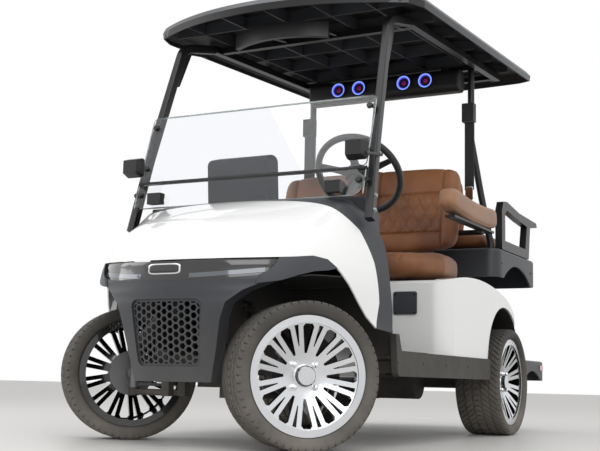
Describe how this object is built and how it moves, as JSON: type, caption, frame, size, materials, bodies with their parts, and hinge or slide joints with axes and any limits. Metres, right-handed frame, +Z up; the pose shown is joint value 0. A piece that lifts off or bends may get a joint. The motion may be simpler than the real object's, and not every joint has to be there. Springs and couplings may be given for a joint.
{
  "type": "golf cart",
  "caption": "Electric golf cart with canopy, fold screen, leather bench, rear-facing flip seat, steered front wheels and alloy rims.",
  "frame": {"origin": "on the ground, under the middle of the cart's box", "axes": "+Z up, -Y towards the front of the cart, +X towards its left side"},
  "size_m": [1.2892, 2.7778, 1.8398],
  "materials": {
    "white_body": "gloss",
    "charcoal_plastic": "satin moulded",
    "black_plastic": "satin moulded",
    "black_steel": "powder coated",
    "canopy_plastic": "satin moulded",
    "screen": "clear",
    "lens": "clear",
    "red_lens": "gloss",
    "leather": "grained",
    "rubber_tread": "moulded rubber",
    "wheel_alloy": "machined face, black pockets",
    "bare_steel": "cast",
    "rubber": "moulded",
    "webbing": "woven"
  },
  "bodies": {
    "cart": {"frame": "black_steel", "floor_pan": "rubber", "sills": "charcoal_plastic", "hood": "white_body", "cowl_trim": "charcoal_plastic", "front_fascia": "charcoal_plastic", "light_band": "black_plastic", "headlamps": "lens", "grille": "charcoal_plastic", "wheel_liners": "black_plastic", "dash": "black_plastic", "windscreen": "screen", "front_struts": "black_steel", "screen_fittings": "black_plastic", "rear_struts": "black_steel", "roof": "canopy_plastic", "roof_rails": "black_steel", "sound_bar": "black_plastic", "mirrors": "black_plastic", "rear_body": "white_body", "charge_port": "black_plastic", "seat_frame": "black_steel", "seat_back": "leather", "armrest_pads": "leather", "rear_seat_back": "leather", "rear_deck": "charcoal_plastic", "rear_arms": "black_plastic", "footboard": "charcoal_plastic", "rear_lamps": "red_lens", "battery_pack": "black_plastic", "rear_axle": "black_steel", "front_suspension": "black_steel", "steering_column": "black_steel", "pedals": "rubber", "seat_belts": "webbing"},
    "left_knuckle": {"knuckle_left": "bare_steel"},
    "right_knuckle": {"knuckle_right": "bare_steel"},
    "front_left_wheel": {"tyre_front_left": "rubber_tread", "rim_front_left": "wheel_alloy"},
    "front_right_wheel": {"tyre_front_right": "rubber_tread", "rim_front_right": "wheel_alloy"},
    "rear_left_wheel": {"tyre_rear_left": "rubber_tread", "rim_rear_left": "wheel_alloy"},
    "rear_right_wheel": {"tyre_rear_right": "rubber_tread", "rim_rear_right": "wheel_alloy"},
    "tie_bar": {"tie_rod": "black_steel"},
    "steering": {"steering_wheel": "black_plastic"},
    "bench_cushion": {"seat_cushion": "leather"},
    "flip_seat": {"flip_seat_plate": "black_steel", "rear_cushion": "leather"}
  },
  "joints": [
    {"name": "steer_left", "type": "hinge", "parent": "cart", "child": "left_knuckle", "pos_m": [0.317, -1.0565, 0.243], "axis": [0, 0, 1], "range_deg": [0, 88]},
    {"name": "steer_right", "type": "hinge", "parent": "cart", "child": "right_knuckle", "pos_m": [-0.317, -1.0565, 0.243], "axis": [0, 0, 1], "range_deg": [0, 88]},
    {"name": "tie_bar_slide", "type": "slide", "parent": "cart", "child": "tie_bar", "axis": [-1, 0, 0], "range_m": [0, 0.12504]},
    {"name": "steering_turn", "type": "hinge", "parent": "cart", "child": "steering", "pos_m": [0.29, -0.4365, 1.05], "axis": [0, 0.7547, 0.6561], "range_deg": [0, 792]},
    {"name": "front_left_spin", "type": "hinge", "parent": "left_knuckle", "child": "front_left_wheel", "pos_m": [0.41123, -1.1475, 0.243], "axis": [0.7193, -0.6947, 0], "continuous": true},
    {"name": "rear_left_spin", "type": "hinge", "parent": "cart", "child": "rear_left_wheel", "pos_m": [0.51, 0.6135, 0.243], "axis": [1, 0, 0], "continuous": true},
    {"name": "front_right_spin", "type": "hinge", "parent": "right_knuckle", "child": "front_right_wheel", "pos_m": [-0.41123, -0.9655, 0.243], "axis": [-0.7193, 0.6947, 0], "continuous": true},
    {"name": "rear_right_spin", "type": "hinge", "parent": "cart", "child": "rear_right_wheel", "pos_m": [-0.51, 0.6135, 0.243], "axis": [-1, 0, 0], "continuous": true},
    {"name": "bench_lift", "type": "hinge", "parent": "cart", "child": "bench_cushion", "pos_m": [0, -0.2085, 0.65], "axis": [1, 0, 0], "range_deg": [0, 60]},
    {"name": "rear_seat_flip", "type": "hinge", "parent": "cart", "child": "flip_seat", "pos_m": [0, 1.2335, 0.881], "axis": [-1, 0, 0], "range_deg": [0, 180]}
  ],
  "couplings": [
    {"joint": "steer_right", "follows": "steer_left", "ratio": 1},
    {"joint": "tie_bar_slide", "follows": "steer_left", "m_per_rad": 0.08141},
    {"joint": "steering_turn", "follows": "steer_left", "ratio": 9}
  ]
}
